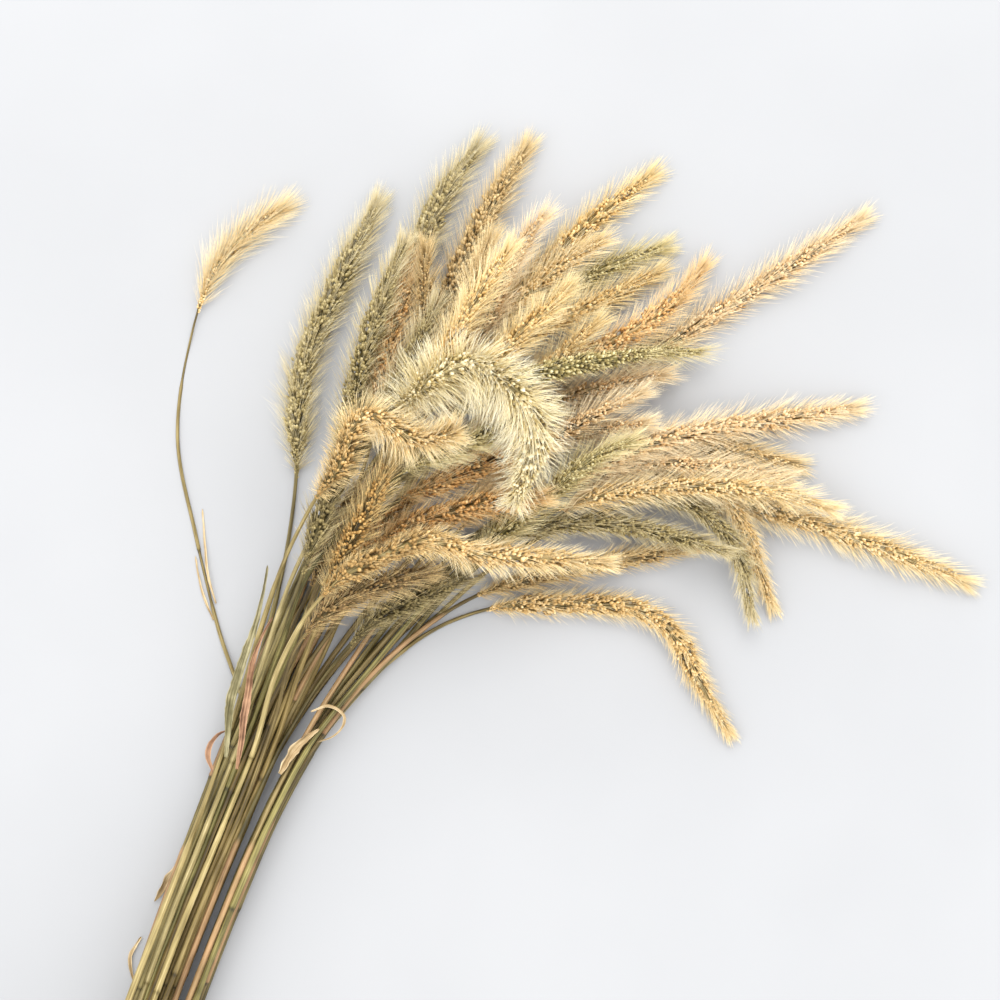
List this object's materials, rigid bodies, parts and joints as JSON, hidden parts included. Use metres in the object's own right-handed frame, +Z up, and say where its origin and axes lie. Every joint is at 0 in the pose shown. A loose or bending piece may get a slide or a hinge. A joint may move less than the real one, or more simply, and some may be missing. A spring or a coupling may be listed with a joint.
{
  "type": "bundle of dried foxtail grass",
  "caption": "Loose dried bunch of bristly foxtail grass stalks lying on its side, heads fanned out over bare stems with cut ends.",
  "frame": {"origin": "bottom centre of the bunch's box, on the surface that it lies on", "axes": "+Z up from the surface; +Y along the stems from the cut ends to the heads; +X to the side on which the heads droop"},
  "size_m": [0.3444, 0.4562, 0.0664],
  "materials": {
    "straw": "matt dried straw with pale bristles",
    "pale": "matt dried straw with long pale bristles over dark seeds",
    "olive": "matt dried grass, olive seeds under tan bristles",
    "green": "matt dried grass that kept some green",
    "golden": "matt dried grass, golden seeds and bristles",
    "orange": "matt dried grass, orange-tan seeds and bristles",
    "peach": "matt dried grass, peach and pink bristles",
    "brown": "matt dried grass, brown seeds under tan bristles",
    "leaf_grey": "matt dried leaf, grey-green",
    "leaf_straw": "matt dried leaf, straw",
    "leaf_russet": "matt dried leaf sheath, russet and pink"
  },
  "bodies": {
    "root": {"stalk_far_reach": "peach", "stalk_longest_right": "straw", "stalk_faint_droop": "straw", "stalk_golden_top": "golden", "stalk_green_fan": "green", "stalk_hidden_green": "green", "stalk_tan_green_fan": "straw", "stalk_pink_inner": "peach", "stalk_low_arch": "straw", "stalk_tan_right": "straw", "stalk_lone_left": "straw", "stalk_olive_droop": "olive", "stalk_pink_right": "peach", "stalk_long_peach": "peach", "stalk_golden_fan": "golden", "stalk_orange_crisp": "orange", "stalk_top_middle": "brown", "stalk_top_left": "olive", "stalk_low_grey": "brown", "stalk_dark_right": "olive", "stalk_yellow_right": "straw", "stalk_tall_left": "olive", "stalk_tan_tuft": "peach", "stalk_back_gold": "golden", "stalk_left_inner": "orange", "stalk_mid_pink": "peach", "stalk_mid_gold": "golden", "stalk_dark_middle": "brown", "stalk_dark_seeded": "brown", "stalk_mid_peach": "golden", "stalk_brown_fan": "peach", "stalk_mid_right_green": "green", "stalk_dark_green": "green", "stalk_left_edge": "olive", "stalk_olive_under": "olive", "stalk_orange_under": "orange", "stalk_brown_under": "brown", "stalk_small_green": "olive", "stalk_green_brown": "green", "stalk_inner_brown_upper": "orange", "stalk_inner_brown_lower": "orange", "stalk_crook": "pale", "stalk_olive_inner": "olive", "stalk_tan_left_inner": "golden", "stalk_grey_low_inner": "olive", "stalk_brown_low": "brown", "stalk_front_low": "straw", "stalk_curl": "straw", "leaf_broken_bit": "leaf_straw", "fibre_dangling": "leaf_straw", "sheath_waist": "leaf_straw", "sheath_low_loop": "leaf_straw", "sheath_right": "leaf_straw", "fibre_loop": "leaf_straw", "leaf_thin_upper": "leaf_straw", "sheath_left_curl": "leaf_russet", "leaf_russet": "leaf_russet", "leaf_folded": "leaf_grey", "blade_thin_long": "leaf_straw", "blade_thin_short": "leaf_straw"}
  },
  "joints": []
}
